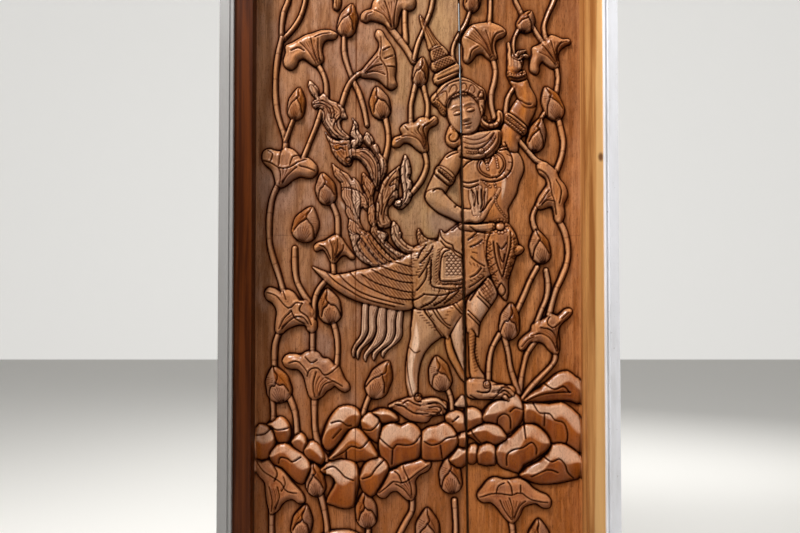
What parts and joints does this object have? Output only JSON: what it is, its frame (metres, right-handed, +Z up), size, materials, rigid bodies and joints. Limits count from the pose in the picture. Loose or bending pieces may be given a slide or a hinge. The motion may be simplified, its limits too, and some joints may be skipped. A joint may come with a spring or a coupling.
{
  "type": "carved temple door",
  "caption": "Teak door leaf of edge-joined planks, carved in relief with a bird-bodied dancer among lotus plants, hinged in a timber frame with a white casing.",
  "frame": {"origin": "under the middle of the sill, at half the frame's depth", "axes": "+Z up, +X to the right of someone facing the carving, +Y away from them"},
  "size_m": [1.052, 0.151, 2.231],
  "materials": {
    "carved_teak": "oiled, worn",
    "frame_teak": "oiled",
    "ledge_teak": "bare, aged",
    "peg_wood": "bare",
    "white_paint": "satin paint",
    "hinge_steel": "dark, worn",
    "forged_iron": "rusted"
  },
  "bodies": {
    "frame": {"jamb_left": "frame_teak", "jamb_right": "frame_teak", "head": "frame_teak", "sill": "frame_teak", "frame_pegs": "peg_wood", "casing_left": "white_paint", "casing_right": "white_paint", "casing_head": "white_paint", "hinge_1_frame_plate": "hinge_steel", "hinge_1_pin": "hinge_steel", "hinge_2_frame_plate": "hinge_steel", "hinge_2_pin": "hinge_steel", "hinge_3_frame_plate": "hinge_steel", "hinge_3_pin": "hinge_steel"},
    "leaf": {"plank_left": "carved_teak", "plank_middle": "carved_teak", "plank_right": "carved_teak", "joint_1_keys": "peg_wood", "joint_2_keys": "peg_wood", "ledge_lower": "ledge_teak", "ledge_middle": "ledge_teak", "ledge_upper": "ledge_teak", "ledge_nails": "forged_iron", "hinge_1_door_plate": "hinge_steel", "hinge_2_door_plate": "hinge_steel", "hinge_3_door_plate": "hinge_steel"}
  },
  "joints": [
    {"name": "leaf_hinge", "type": "hinge", "parent": "frame", "child": "leaf", "pos_m": [-0.4515, 0.062, 1.105], "axis": [0, 0, 1], "range_deg": [0, 100]}
  ]
}
